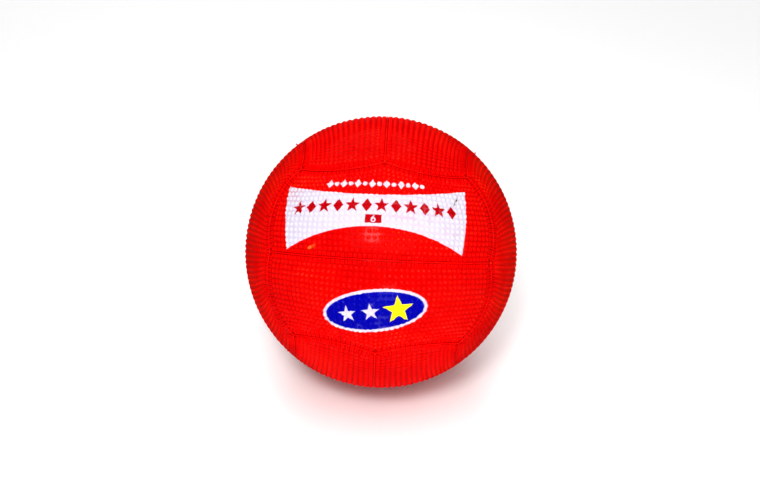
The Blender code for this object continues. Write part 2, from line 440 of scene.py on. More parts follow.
rib_ends = [SEAM_RIB_END, SHORT_SIDE_RIB_END, FAR_SIDE_RIB_END, FAR_SIDE_RIB_END,
            SHORT_SIDE_RIB_END]
rib_places = []
for number, edge in enumerate(panel_edges):
    others = panel_edges[:number] + panel_edges[number + 1:]
    rib_places += rib_places_on(edge, others, rib_ends[number])
print("ribs on a panel:", len(rib_places))

# %% [markdown]
# ## The model panel
#
# What repeats on the ball is modelled once and copied: every copy gets a mesh of its own,
# and the copies are joined into one piece. The pimples and the ribs are copied to their
# places once for all twelve panels. They are kept apart from the skin for now, because one
# panel needs a hole for the valve, and a hole is best cut while the skin is still plain.

# %% Helpers for copies
def copy_of(piece, name, place=None):
    """A copy with its own mesh, put where the matrix says."""
    twin = piece.copy()
    twin.data = piece.data.copy()
    twin.name = name
    bpy.context.collection.objects.link(twin)
    if place is not None:
        twin.matrix_world = place
    return twin


def join(name, parts):
    """Join parts into the first of them, which gives the whole its origin."""
    start_clean(parts[0])
    for part in parts:
        part.select_set(True)
    bpy.ops.object.join()
    whole = bpy.context.object
    whole.name = whole.data.name = name
    return whole


def settle(piece, place):
    """Move a piece by the matrix and write its place into its mesh."""
    start_clean(piece)
    piece.matrix_world = place
    bpy.ops.object.transform_apply(location=True, rotation=True, scale=True)
    return piece


def scrap(*pieces):
    """Throw away models that were only there to be copied."""
    for piece in pieces:
        bpy.data.objects.remove(piece, do_unlink=True)


print("copied next:", len(pimple_places), "pimples and", len(rib_places), "ribs")

# %% Copy the pimples and ribs to their places
def scattered(model, name, places):
    """Copies of a model at all the places, joined into one object at the origin."""
    copies = [copy_of(model, name, place) for place in places]
    whole = join(name, copies)
    return settle(whole, whole.matrix_world)


pimple_field = scattered(pimple, "pimple_field", pimple_places)
rib_comb = scattered(rib, "rib_comb", rib_places)
scrap(pimple, rib)
print("faces:", len(pimple_field.data.polygons), "and", len(rib_comb.data.polygons))

# %% [markdown]
# ## Twelve panels
#
# Each panel is a copy of the model, turned to its face. A turn is written as three axes:
# the middle of the face, the way from its seam to the panel, and the third at right angles.
# They are given in the ball's own frame and then turned into the lie that was measured.

# %% Where the twelve panels go
PANEL_SIDES = {
    "panel_front_upper": ((0, -1, 0), (0, 0, 1)),
    "panel_front_lower": ((0, -1, 0), (0, 0, -1)),
    "panel_back_upper": ((0, 1, 0), (0, 0, 1)),
    "panel_back_lower": ((0, 1, 0), (0, 0, -1)),
    "panel_top_right": ((0, 0, 1), (1, 0, 0)),
    "panel_top_left": ((0, 0, 1), (-1, 0, 0)),
    "panel_bottom_right": ((0, 0, -1), (1, 0, 0)),
    "panel_bottom_left": ((0, 0, -1), (-1, 0, 0)),
    "panel_left_back": ((-1, 0, 0), (0, 1, 0)),
    "panel_left_front": ((-1, 0, 0), (0, -1, 0)),
    "panel_right_back": ((1, 0, 0), (0, 1, 0)),
    "panel_right_front": ((1, 0, 0), (0, -1, 0)),
}


def turned_to(face, across):
    """Matrix from the model panel's frame to the world."""
    face, across = Vector(face), Vector(across)
    panel_to_ball = Matrix((across.cross(face), across, face)).transposed()
    return (BALL_TO_WORLD @ panel_to_ball).to_4x4()


model_middle = turned_to(*PANEL_SIDES["panel_front_upper"]).inverted() @ upper_middle
for name, sides in PANEL_SIDES.items():
    miss = math.degrees(surface_middle(name).angle(turned_to(*sides) @ model_middle))
    print("%-20s is %.2f degrees off its CAD node" % (name, miss))

# %% [markdown]
# ## The opening for the valve
#
# The valve's axis comes from its CAD node. A hole is cut through one copy of the skin with
# a cylinder and the Boolean modifier, and the pimples around it are picked by their place
# and deleted, because the mould leaves a plain ring there.

# %% Cut the valve's opening
valve_axis = surface_middle("valve_housing").normalized()
valve_place = standing(valve_axis, right_axis, 0.0)
to_back_panel = turned_to(*PANEL_SIDES["panel_back_upper"]).inverted().to_3x3()
valve_in_panel = to_back_panel @ valve_axis
HOLE_RADIUS = 4.5 * MM
DRILL_LENGTH = 8.0 * MM
BOSS_RADIUS = 7.3 * MM
BOSS_MARGIN = 0.1 * MM

holed_skin = copy_of(skin, "holed_skin")
start_clean()
bpy.ops.mesh.primitive_cylinder_add(vertices=48, radius=HOLE_RADIUS, depth=DRILL_LENGTH)
drill = bpy.context.object
drill.matrix_world = standing(valve_in_panel, ALONG, SKIN_RADIUS)
start_clean(holed_skin)
hole = holed_skin.modifiers.new("hole", "BOOLEAN")
hole.operation = "DIFFERENCE"
hole.solver = "EXACT"
hole.object = drill
bpy.ops.object.modifier_apply(modifier="hole")
scrap(drill)
smooth(holed_skin, 50.0)


def from_valve_axis(point):
    """Distance of a point from the valve's axis, in the panel's frame."""
    return (point - point.dot(valve_in_panel) * valve_in_panel).length


bare_field = copy_of(pimple_field, "bare_field")
edit_selecting(bare_field, "vertices",
               lambda vertex: from_valve_axis(vertex.co) < BOSS_RADIUS + BOSS_MARGIN)
bpy.ops.mesh.select_linked()
bpy.ops.mesh.delete(type="VERT")
bpy.ops.object.mode_set(mode="OBJECT")
print("faces of pimples around the valve taken away:",
      len(pimple_field.data.polygons) - len(bare_field.data.polygons))

# %% Assemble and turn the twelve panels
panels = {}
for name, sides in PANEL_SIDES.items():
    has_valve = name == "panel_back_upper"
    parts = [
        copy_of(holed_skin if has_valve else skin, name),
        copy_of(bare_field if has_valve else pimple_field, name),
        copy_of(rib_comb, name),
    ]
    panels[name] = settle(join("moulded_" + name, parts), turned_to(*sides))
scrap(skin, holed_skin, pimple_field, bare_field, rib_comb)
print("cover faces:", sum(len(panel.data.polygons) for panel in panels.values()))

# %% [markdown]
# ## The beads in the seams
#
# Where two halves of a mould meet they leave a thin raised bead. A bead is a curve with a
# round section: a path primitive is made a plain polyline, subdivided, and its points are
# put along the edge. One face of the ball owns five beads, the long one along its seam and
# two short ones at each end, in the shape of an H. Six of those cover all thirty edges.

# %% Make the beads
BEAD_RADIUS = 0.39 * MM
BEAD_CENTRE = SKIN_RADIUS + 0.10 * MM
LONG_BEAD_CUTS, SHORT_BEAD_CUTS = 23, 11


def bead(points, cuts):
    """A round bead along a list of directions."""
    start_clean()
    bpy.ops.curve.primitive_nurbs_path_add()
    path = bpy.context.object
    bpy.ops.object.mode_set(mode="EDIT")
    bpy.ops.curve.spline_type_set(type="POLY")
    bpy.ops.curve.subdivide(number_cuts=cuts)
    bpy.ops.object.mode_set(mode="OBJECT")
    stations = path.data.splines[0].points
    for number, station in enumerate(stations):
        index = round(number / (len(stations) - 1) * (len(points) - 1))
        station.co = (*(BEAD_CENTRE * points[index]), 1.0)
    path.data.bevel_depth = BEAD_RADIUS
    path.data.bevel_resolution = 2
    path.data.use_fill_caps = True
    bpy.ops.object.convert(target="MESH")
    return bpy.context.object


short_beads = [bead(panel_edges[side], SHORT_BEAD_CUTS) for side in (1, 4)]
half_turn = Matrix.Rotation(math.pi, 4, "Z")
turned_beads = [settle(copy_of(short, "bead"), half_turn) for short in short_beads]
long_bead = bead(panel_edges[0], LONG_BEAD_CUTS)
model_beads = join("model_beads", [long_bead] + short_beads + turned_beads)
face_names = [name for name, (face, across) in PANEL_SIDES.items() if sum(across) > 0]
bead_sets = [settle(copy_of(model_beads, "bead"), turned_to(*PANEL_SIDES[name]))
             for name in face_names]
seam_beads = join("seam_beads", bead_sets)
smooth(seam_beads, 60.0)
scrap(model_beads)
print("beads on", len(face_names), "faces:", len(seam_beads.data.polygons), "faces")

# %% [markdown]
# ## The vent nibs
#
# Air leaves the mould through a pin hole at each end of a seam, and the rubber follows it.
# What is left when the ball is pulled out is a nib like a whisker, no two the same length.
# One is a thin cylinder whose tip is inset, pulled up and narrowed; the copies are scaled
# and lean a little.

# %% Make the vent nibs
NIB_RADIUS, NIB_LENGTH, NIB_SUNK = 0.40 * MM, 1.90 * MM, 0.45 * MM
MOST_LEAN = 0.3                         # radians either way
SHORTEST, LONGEST = 0.7, 1.25           # shares of the model nib
start_clean()
bpy.ops.mesh.primitive_cylinder_add(
    vertices=12, radius=NIB_RADIUS, depth=NIB_LENGTH,
    location=(0, 0, NIB_LENGTH / 2.0 - NIB_SUNK))
nib = bpy.context.object
bpy.ops.object.transform_apply(location=True, rotation=True, scale=True)
edit_selecting(nib, "polygons", lambda face: face.normal.z > 0.9)
for narrowing, rise in ((0.12 * MM, 0.14 * MM), (0.13 * MM, 0.05 * MM)):
    bpy.ops.mesh.inset(thickness=narrowing, depth=rise)
smooth(nib, 50.0)

lean = random.Random(12)
nib_copies = []
for name in face_names:
    turn = turned_to(*PANEL_SIDES[name]).to_3x3()
    for end in (-1.0, 1.0):
        outward = turn @ seam_point(end * SEAM_HALF_ANGLE)
        tilt = Matrix.Rotation(lean.uniform(-MOST_LEAN, MOST_LEAN), 4, "X")
        height = Matrix.Diagonal((1.0, 1.0, lean.uniform(SHORTEST, LONGEST), 1.0))
        place = standing(outward, turn @ ACROSS, SKIN_RADIUS) @ tilt @ height
        nib_copies.append(settle(copy_of(nib, "nib"), place))
scrap(nib)
vent_nibs = join("vent_nibs", nib_copies)
print("nibs:", len(nib_copies))

# %% [markdown]
# ## The valve
#
# The valve is a soft rubber insert, turned about its axis. Its face is almost flush with
# the cover, and a plug in its middle has the small mouth that takes a needle. Round pieces
# like these can be spun from a profile. Here a circle is extruded ring by ring and each
# new ring is scaled to its radius, which gives the same shape and shows each step. The
# sizes are read from the CAD nodes in the valve's own frame.

# %% Read the valve's sizes
def valve_points(node_name):
    """(radius, height) of each vertex of a CAD node, about the valve's axis."""
    points = []
    for vertex in frame["nodes"][node_name].data.vertices:
        height = vertex.co.dot(valve_axis)
        points.append(((vertex.co - height * valve_axis).length, height))
    return points


housing_points, plug_points = valve_points("valve_housing"), valve_points("valve_plug")
FACE_HEIGHT = max(height for _, height in housing_points)
STEM_RADIUS = max(r for r, height in housing_points if height > FACE_HEIGHT - 0.1 * MM)
FLANGE_RADIUS = max(r for r, _ in housing_points)
FLANGE_FOOT = min(height for _, height in housing_points)
PLUG_RADIUS = max(r for r, height in plug_points if height > FACE_HEIGHT - 0.1 * MM)
PLUG_FOOT = min(height for _, height in plug_points)
print("valve: face at %.2f mm, stem %.2f, flange %.2f, plug %.2f mm" % tuple(
    size / MM for size in (FACE_HEIGHT, STEM_RADIUS, FLANGE_RADIUS, PLUG_RADIUS)))

# %% Helpers for turned pieces
TURNED_STEPS = 64


def turned(name, profile):
    """Extrude a circle along a profile of (radius, height) and put it on the valve."""
    start_clean()
    last_radius, last_height = profile[0]
    bpy.ops.mesh.primitive_circle_add(vertices=TURNED_STEPS, radius=last_radius,
                                      location=(0, 0, last_height))
    piece = bpy.context.object
    piece.name = piece.data.name = name
    bpy.ops.object.transform_apply(location=True, rotation=True, scale=True)
    bpy.ops.object.mode_set(mode="EDIT")
    bpy.ops.mesh.select_mode(type="EDGE")
    bpy.ops.mesh.select_all(action="SELECT")
    for radius, height in profile[1:]:
        bpy.ops.mesh.extrude_region_move(
            TRANSFORM_OT_translate={"value": (0, 0, height - last_height)})
        scale = radius / last_radius
        bpy.ops.transform.resize(value=(scale, scale, 1.0), center_override=(0, 0, 0))
        last_radius, last_height = radius, height
    bpy.ops.mesh.select_all(action="SELECT")
    bpy.ops.mesh.remove_doubles(threshold=0.004 * MM)
    bpy.ops.mesh.normals_make_consistent(inside=False)
    smooth(piece, 35.0)
    return settle(piece, valve_place)


def on_sphere(radius, sphere):
    """Height on a sphere about the ball's middle, at a distance from the valve's axis."""
    return math.sqrt(sphere ** 2 - radius ** 2)


def closed(profile):
    """The profile of a ring, brought back to where it starts."""
    return profile + profile[:1]


print("round pieces have", TURNED_STEPS, "sides")

# %% Make the valve's three pieces
boss_top = SKIN_RADIUS + 0.30 * MM
boss_profile = closed(
    [(HOLE_RADIUS + 0.02 * MM, SKIN_RADIUS - 0.9 * MM)]
    + [(HOLE_RADIUS + inset * MM, on_sphere(HOLE_RADIUS, boss_top) - drop * MM)
       for inset, drop in ((0.02, 0.25), (0.09, 0.08), (0.25, 0.0))]
    + [(radius * MM, on_sphere(radius * MM, boss_top)) for radius in (5.2, 5.7)]
    + [(radius * MM, on_sphere(radius * MM, boss_top - dip * MM))
       for radius, dip in ((5.85, 0.16), (6.0, 0.22), (6.15, 0.16), (6.3, 0.0),
                           (6.7, 0.0), (7.0, 0.06), (7.2, 0.2), (7.3, 0.42))]
    + [(BOSS_RADIUS, on_sphere(BOSS_RADIUS, SKIN_RADIUS) - 0.4 * MM)])
valve_boss = turned("valve_boss", boss_profile)

bore = PLUG_RADIUS + 0.3 * MM
neck_bore = 1.8 * MM
flange_sphere = 70.3 * MM        # the top of the flange lies under the inner plies
housing_profile = closed(
    [(bore + 0.22 * MM, FACE_HEIGHT), (bore + 0.6 * MM, FACE_HEIGHT + 0.04 * MM)]
    + [(STEM_RADIUS - back * MM, FACE_HEIGHT - drop * MM)
       for back, drop in ((0.6, -0.04), (0.3, 0.0), (0.08, 0.1), (0.0, 0.32))]
    + [(STEM_RADIUS, on_sphere(STEM_RADIUS, flange_sphere) + 0.3 * MM),
       (STEM_RADIUS + 0.25 * MM, on_sphere(STEM_RADIUS, flange_sphere)),
       (FLANGE_RADIUS - 0.15 * MM, FLANGE_FOOT + 1.2 * MM),
       (FLANGE_RADIUS, FLANGE_FOOT + 1.0 * MM), (FLANGE_RADIUS, FLANGE_FOOT + 0.2 * MM),
       (FLANGE_RADIUS - 0.2 * MM, FLANGE_FOOT), (bore + 0.3 * MM, FLANGE_FOOT),
       (bore + 0.1 * MM, FLANGE_FOOT + 0.2 * MM), (bore + 0.1 * MM, FLANGE_FOOT + 1.2 * MM),
       (neck_bore, FLANGE_FOOT + 2.1 * MM), (neck_bore, FACE_HEIGHT - 1.5 * MM),
       (bore, FACE_HEIGHT - 1.5 * MM), (bore, FACE_HEIGHT - 0.22 * MM),
       (bore + 0.07 * MM, FACE_HEIGHT - 0.07 * MM)])
valve_body = turned("valve_body", housing_profile)

on_axis = 0.001 * MM
needle_hole, neck, bulb = 0.45 * MM, 1.5 * MM, 2.4 * MM
needle_profile = (
    [(on_axis, FACE_HEIGHT - 4.9 * MM), (needle_hole, FACE_HEIGHT - 4.5 * MM),
     (needle_hole, FACE_HEIGHT - 1.1 * MM), (0.6 * MM, FACE_HEIGHT - 0.75 * MM),
     (0.95 * MM, FACE_HEIGHT - 0.35 * MM), (1.1 * MM, FACE_HEIGHT - 0.14 * MM),
     (1.3 * MM, FACE_HEIGHT - 0.06 * MM)]
    + [(PLUG_RADIUS - back * MM, FACE_HEIGHT - drop * MM)
       for back, drop in ((0.35, 0.04), (0.12, 0.1), (0.0, 0.3), (0.0, 1.2))]
    + [(neck, FACE_HEIGHT - 1.2 * MM), (neck, PLUG_FOOT + 3.3 * MM),
       (bulb, PLUG_FOOT + 2.4 * MM), (bulb, PLUG_FOOT + 1.2 * MM),
       (bulb / 2.0, PLUG_FOOT), (on_axis, PLUG_FOOT)])
needle_plug = turned("needle_plug", needle_profile)
print("valve pieces:", [len(piece.data.polygons)
                        for piece in (valve_boss, valve_body, needle_plug)])

# %% [markdown]
# ## Sums with nodes
#
# A shader knows only numbers and vectors that change over the surface. To write a printed
# shape as a sum, each step needs a Math node. This helper wraps a socket so that a sum in
# Python adds those nodes by itself: `top - up` makes a Subtract node and returns its
# output, ready for the next step.

# %% Numbers that change over a surface
class Reading:
    """A number that changes over the surface. A sum with it adds Math nodes to its tree."""

    def __init__(self, tree, socket):
        self.tree, self.socket = tree, socket

    def maths(self, operation, *others):
        """A Math node of this number and the others, in that order."""
        return worked_out(self.tree, operation, self, *others)

    def __add__(self, other):
        return self.maths("ADD", other)

    def __sub__(self, other):
        return self.maths("SUBTRACT", other)

    def __rsub__(self, other):
        return worked_out(self.tree, "SUBTRACT", other, self)

    def __mul__(self, other):
        return self.maths("MULTIPLY", other)

    def __truediv__(self, other):
        return self.maths("DIVIDE", other)

    def __rtruediv__(self, other):
        return worked_out(self.tree, "DIVIDE", other, self)

    __radd__, __rmul__ = __add__, __mul__

    def squared(self):
        return self.maths("MULTIPLY", self)

    def size(self):
        return self.maths("ABSOLUTE")

    def least(self, other):
        return self.maths("MINIMUM", other)

    def most(self, other):
        return self.maths("MAXIMUM", other)

    def ramp(self, low, high):
        """0 below low, 1 above high, and a smooth step between."""
        node = self.tree.nodes.new("ShaderNodeMapRange")
        node.interpolation_type = "SMOOTHSTEP"
        plug(self.tree, self, node.inputs["Value"])
        node.inputs["From Min"].default_value = low
        node.inputs["From Max"].default_value = high
        return Reading(self.tree, node.outputs["Result"])


def plug(tree, value, socket):
    """Link a socket or a reading to an input, or set the input to a plain value."""
    if isinstance(value, Reading):
        value = value.socket
    if isinstance(value, bpy.types.NodeSocket):
        tree.links.new(value, socket)
    else:
        socket.default_value = value


def worked_out(tree, operation, *values):
    """A Math node that works on the values in their order."""
    node = tree.nodes.new("ShaderNodeMath")
    node.operation = operation
    for socket, value in zip(node.inputs, values):
        plug(tree, value, socket)
    return Reading(tree, node.outputs[0])


print("a reading can be", ", ".join(name for name in vars(Reading) if name[0] != "_"))

# %% Helpers for node trees
def add_node(tree, kind, group=None, **inputs):
    """Add a node and plug its inputs by name, with spaces written as underscores."""
    node = tree.nodes.new(kind)
    if group:
        node.node_tree = group
    for name, value in inputs.items():
        plug(tree, value, node.inputs[name.replace("_", " ")])
    return node


def use_group(tree, group, **inputs):
    return add_node(tree, "ShaderNodeGroup", group, **inputs)


def new_group(name, inputs, outputs):
    """A group with sockets of those names. Returns its input and output nodes too."""
    group = bpy.data.node_groups.new(name, "ShaderNodeTree")
    for names, direction in ((inputs, "INPUT"), (outputs, "OUTPUT")):
        for socket_name in names:
            kind = "Vector" if socket_name == "Position" else "Float"
            group.interface.new_socket(socket_name, in_out=direction,
                                       socket_type="NodeSocket" + kind)
    return group, group.nodes.new("NodeGroupInput"), group.nodes.new("NodeGroupOutput")


def parts_of(tree, vector):
    """The X, Y and Z of a vector, as readings."""
    apart = add_node(tree, "ShaderNodeSeparateXYZ", Vector=vector)
    return [Reading(tree, socket) for socket in apart.outputs]


def length_of(*parts):
    """The length of a vector with those parts."""
    total = parts[0].squared()
    for part in parts[1:]:
        total = total + part.squared()
    return total.maths("SQRT")


def mixed(tree, share, first, second):
    """A colour between the first, at share 0, and the second, at share 1."""
    node = tree.nodes.new("ShaderNodeMix")
    node.data_type = "RGBA"
    factor, colours = node.inputs[0], node.inputs[6:8]
    plug(tree, share, factor)
    plug(tree, first, colours[0])
    plug(tree, second, colours[1])
    return node.outputs[2]


print("materials before the finishes:", len(bpy.data.materials))

# %% [markdown]
# ## A place on the ball as two angles
#
# The prints follow the curve of the ball, so their shapes are drawn in degrees: across
# from the middle of the print, and up from the middle seam. The group turns a position in
# the ball's frame into those two, and gives its distance from the ball's middle too, which
# tells the top of a pimple from the floor between pimples.

# %% The ball_map group
PRINT_MIDDLE = -3.3      # degrees: the prints sit a little to the left
DEGREES = 180.0 / math.pi

ball_map, map_in, map_out = new_group("ball_map", ["Position"], ["Across", "Up", "Radius"])
x, y, z = parts_of(ball_map, map_in.outputs["Position"])
radius = length_of(x, y, z)
plug(ball_map, x.maths("ARCTAN2", y * -1.0) * DEGREES - PRINT_MIDDLE,
     map_out.inputs["Across"])
plug(ball_map, (z / radius).maths("ARCSINE") * DEGREES, map_out.inputs["Up"])
plug(ball_map, radius, map_out.inputs["Radius"])
print("ball_map has", len(ball_map.nodes), "nodes")

# %% [markdown]
# ## Printed shapes
#
# Each group below says how far a place is inside a shape and turns that into a mask with a
# soft edge, as ink has. A star is folded: all five points are the same, so the angle is
# bounced to and fro between a tip and a notch, and one straight edge cuts them all.

# %% Groups for a star, a lozenge and an oval
INK_EDGE = 0.16


def ink_mask(depth):
    """1 where the depth inside a shape, in degrees, is positive."""
    return depth.ramp(-INK_EDGE, INK_EDGE)


def shape_group(name, sizes, depth_inside):
    """A group that masks a shape, from a sum for the depth of a place inside it."""
    names = ["Across", "Up"] + sizes
    group, group_in, group_out = new_group(name, names, ["Mask"])
    readings = [Reading(group, group_in.outputs[socket]) for socket in names]
    plug(group, ink_mask(depth_inside(*readings)), group_out.inputs["Mask"])
    return group


POINT_SINE, POINT_COSINE = 0.350, 0.936     # of the angle between a star's edge and its tip
LOZENGE_SLIMNESS, LOZENGE_SLOPE = 1.25, 0.7


def star_depth(x, y, size):
    fold = x.maths("ARCTAN2", y).maths("PINGPONG", math.pi / 5.0)
    reach = length_of(x, y)
    from_tip = size - reach * fold.maths("COSINE")
    return from_tip * POINT_SINE - reach * fold.maths("SINE") * POINT_COSINE


def lozenge_depth(x, y, size):
    return (size - x.size() * LOZENGE_SLIMNESS - y.size()) * LOZENGE_SLOPE


def oval_depth(x, y, width, height):
    return (1.0 - length_of(x / width, y / height)) * height


star_print = shape_group("star_print", ["Size"], star_depth)
lozenge_print = shape_group("lozenge_print", ["Size"], lozenge_depth)
oval_print = shape_group("oval_print", ["Half width", "Half height"], oval_depth)


def stamp(tree, group, *values):
    """Mask of one printed shape, from its place and its sizes."""
    node = use_group(tree, group)
    for socket, value in zip(node.inputs, values):
        plug(tree, value, socket)
    return Reading(tree, node.outputs["Mask"])


print("shapes:", star_print.name, lozenge_print.name, oval_print.name)

# %% [markdown]
# ## The prints on the front
#
# The banner is a bow tie: its top edge sags in the middle, its lower edge rises high, and
# it is wider at the top. Across it runs a row of stars and lozenges, with the size of the
# ball in a small box below. Above the banner is a line of small white marks, and low on
# the front is a blue oval badge with a white rim and three stars. Play has left a dark
# scratch near one end of the banner and a pale scuff below the other. The group gives one
# mask for each ink and for each of those two marks. A degree across is shorter the further
# a place is from the middle seam, so each shape is narrowed by its own share.

# %% Start the front_print group
INK_NAMES, MARK_NAMES = ["White", "Red", "Blue", "Yellow"], ["Scratch", "Scuff"]
STENCIL_SLOPE = 0.0195      # the stencil sat a degree askew

front_print, print_in, print_out = new_group(
    "front_print", ["Across", "Up"], INK_NAMES + MARK_NAMES)
tree = front_print
across = Reading(tree, print_in.outputs["Across"])
up = Reading(tree, print_in.outputs["Up"])
level = up - STENCIL_SLOPE * across


def bowed(middle, rise, reach):
    """Height of a bowed line: in its middle, and how much more it is at its reach."""
    return middle + rise * (across / reach).squared()


print("all that follows is in degrees")

# %% The banner
banner_top = bowed(25.6, 2.1, 42.7)
banner_foot = bowed(12.9, -10.7, 36.5)
banner_half = 35.92 + 0.2426 * level                    # wider at its top
banner_side = (across + 0.0335 * level - 0.58).size()   # and leaning a little
in_height = (banner_top - level).least(level - banner_foot)
banner = ink_mask(in_height.least(banner_half - banner_side))
print("nodes with the banner:", len(tree.nodes))

# %% The rows above the banner and on it
ROW_PITCH, ROW_CELLS, ROW_NARROWING = 6.0, 12, 0.94
MARK_PITCH, MARK_CELLS, MARK_NARROWING = 3.2, 14, 0.87


def repeated(pitch, cells):
    """(place in its cell, which of two kinds, mask of the whole row)."""
    moved = across + pitch * cells / 2.0
    local = moved.maths("FLOORED_MODULO", pitch) - pitch / 2.0
    odd = moved.maths("FLOORED_MODULO", 2.0 * pitch).maths("GREATER_THAN", pitch)
    within = across.size().maths("LESS_THAN", pitch * cells / 2.0)
    return local, odd, within


local, odd, within = repeated(ROW_PITCH, ROW_CELLS)
row_place = local * ROW_NARROWING, level - bowed(21.2, -2.9, 36.0)
stars = stamp(tree, star_print, *row_place, 3.1)
lozenges = stamp(tree, lozenge_print, *row_place, 2.6)
row = (stars * (1.0 - odd) + lozenges * odd) * within

local, odd, within = repeated(MARK_PITCH, MARK_CELLS)
mark_place = local * MARK_NARROWING, level - bowed(30.2, -0.9, 23.0)
dots = stamp(tree, oval_print, *mark_place, 0.92, 0.92)
diamonds = stamp(tree, lozenge_print, *mark_place, 1.75)
marks = (dots * odd + diamonds * (1.0 - odd)) * within
print("nodes with the rows:", len(tree.nodes))

# %% The size in its box
BOX_HALF_WIDTH, BOX_HALF_HEIGHT, BOX_UP = 3.3, 1.7, 15.8
BOWL_RADIUS, TAIL_RADIUS, HALF_STROKE = 0.52, 1.22, 0.2

box = ink_mask((BOX_HALF_WIDTH - across.size()).least(
    BOX_HALF_HEIGHT - (level - BOX_UP).size()))
six_x, six_y = across * 0.77, (level - 15.35) * 0.8
bowl = (length_of(six_x, six_y) - BOWL_RADIUS).size()
six_tail = (length_of(six_x - (TAIL_RADIUS - 0.5), six_y - 0.1) - TAIL_RADIUS).size()
six_tail = six_tail.most(six_x - 0.12).most(0.0 - six_y)
six = (HALF_STROKE - bowl.least(six_tail)).ramp(-0.08, 0.08)
print("nodes with the size:", len(tree.nodes))

# %% The badge
BADGE_TILT = math.radians(9.0)
BADGE_ACROSS, BADGE_UP, BADGE_NARROWING = 2.1, 20.3, 0.937

badge_right, badge_rise = (across - BADGE_ACROSS) * BADGE_NARROWING, up + BADGE_UP
badge_x = badge_right * math.cos(BADGE_TILT) + badge_rise * math.sin(BADGE_TILT)
badge_y = badge_rise * math.cos(BADGE_TILT) - badge_right * math.sin(BADGE_TILT)
badge_rim = stamp(tree, oval_print, badge_x, badge_y, 20.6, 9.1)
badge_blue = stamp(tree, oval_print, badge_x, badge_y, 19.4, 7.9)
badge_star = stamp(tree, star_print, badge_x - 9.3, badge_y + 0.3, 6.0)
small_stars = stamp(tree, star_print, badge_x + 1.4, badge_y + 0.2, 3.6).most(
    stamp(tree, star_print, badge_x + 10.6, badge_y + 0.2, 3.6))
print("nodes with the badge:", len(tree.nodes))

# %% The marks of play, and what the group puts out
def streak(start, end, half_width):
    """Mask of a thin streak between two places."""
    half_x, half_y = (end[0] - start[0]) / 2.0, (end[1] - start[1]) / 2.0
    half_length = math.hypot(half_x, half_y)
    cosine, sine = half_x / half_length, half_y / half_length
    x, y = across - (start[0] + half_x), up - (start[1] + half_y)
    return stamp(tree, oval_print, x * cosine + y * sine, y * cosine - x * sine,
                 half_length, half_width)


masks = {
    "White": banner.most(marks).most(six).most(badge_rim).most(small_stars),
    "Red": (row.most(box) * (1.0 - six)).least(banner),
    "Blue": badge_blue * (1.0 - small_stars),
    "Yellow": badge_star,
    "Scratch": streak((34.2, 22.0), (37.8, 26.3), 0.34),
    "Scuff": streak((-26.0, 2.5), (-22.4, 4.6), 0.60),
}
for name, mask in masks.items():
    plug(tree, mask, print_out.inputs[name])
print("front_print has", len(tree.nodes), "nodes")

# %% [markdown]
# ## Moulded rubber
#
# Cast rubber isn't one even red. It has slow changes of tone, a fine grain from the mould
# and a bloom of dust that handling wipes off the tops of the pimples and leaves on the
# floor between them. The group gives those as values: the tone, the dust, how polished the
# surface is, and the height of the grain for a Bump node.

# %% The moulded_rubber group
def noise(tree, vector, scale, detail):
    node = add_node(tree, "ShaderNodeTexNoise", Vector=vector, Scale=scale, Detail=detail)
    return Reading(tree, node.outputs["Fac"])


moulded_rubber, rubber_in, rubber_out = new_group(
    "moulded_rubber", ["Position", "Depth", "Grain size"],
    ["Tone", "Dust", "Polish", "Height"])
tree = moulded_rubber
position = rubber_in.outputs["Position"]
depth = Reading(tree, rubber_in.outputs["Depth"])
grain_size = Reading(tree, rubber_in.outputs["Grain size"])
slow = noise(tree, position, 34.0, 3.0)
blotches = noise(tree, position, 150.0, 4.0)
grain = noise(tree, position, 1.0 / grain_size, 3.0)
pores = noise(tree, position, 0.28 / grain_size, 2.0)
plug(tree, slow * 0.6 + blotches * 0.4, rubber_out.inputs["Tone"])
dusty = (slow.ramp(0.42, 0.68) * 0.7 + blotches.ramp(0.45, 0.7) * 0.3)
plug(tree, depth * (0.25 + dusty * 0.75), rubber_out.inputs["Dust"])
plug(tree, (1.0 - depth) * (0.4 + 0.6 * blotches.ramp(0.35, 0.65)),
     rubber_out.inputs["Polish"])
plug(tree, grain * 0.7 + pores.ramp(0.3, 0.5) * 0.5, rubber_out.inputs["Height"])
print("moulded_rubber has", len(tree.nodes), "nodes")

# %% [markdown]
# ## The finish of the cover
#
# The rubber is a saturated red. Its colour is painted darker on the floors between pimples,
# and darker still in the gaps between ribs, in the grooves of the seams and at the rounded
# rims. The sides that turn away from the front are painted darker too. All of that is
# painted shade. The floors hold tan dust, heavier on those sides, where it is also painted
# shade. The tops are rubbed paler, orange and glossier, and the paler orange is partly wear
# and partly a painted highlight. Soft rubber reflects little, even at a glancing angle, so
# its own specular is off and the gloss is a thin coat whose weight follows the wear. The
# inks lie over the rubber, and the white ink is painted darker and lilac on the floors as
# painted shade. Only the front panels carry them, so the other panels, the beads and the
# nibs use the same finish without the print.

# %% Colours of the cover, its inks and its wear
# The first rubber colour is the dark end of the rubber's tone and of its painted shade.
RUBBER_DARK_TONE_AND_SHADE, RUBBER_BRIGHT = (0.12, 0.0002, 0.0002, 1), (0.88, 0.0004, 0.0002, 1)
# The orange of rubbed tops is partly wear and partly painted highlight, and the tan dust is
# also painted shade on the sides that turn away.
RUBBER_WORN_AND_HIGHLIGHT, RUBBER_DUST_AND_SHADE = (0.84, 0.070, 0.008, 1), (0.42, 0.028, 0.003, 1)
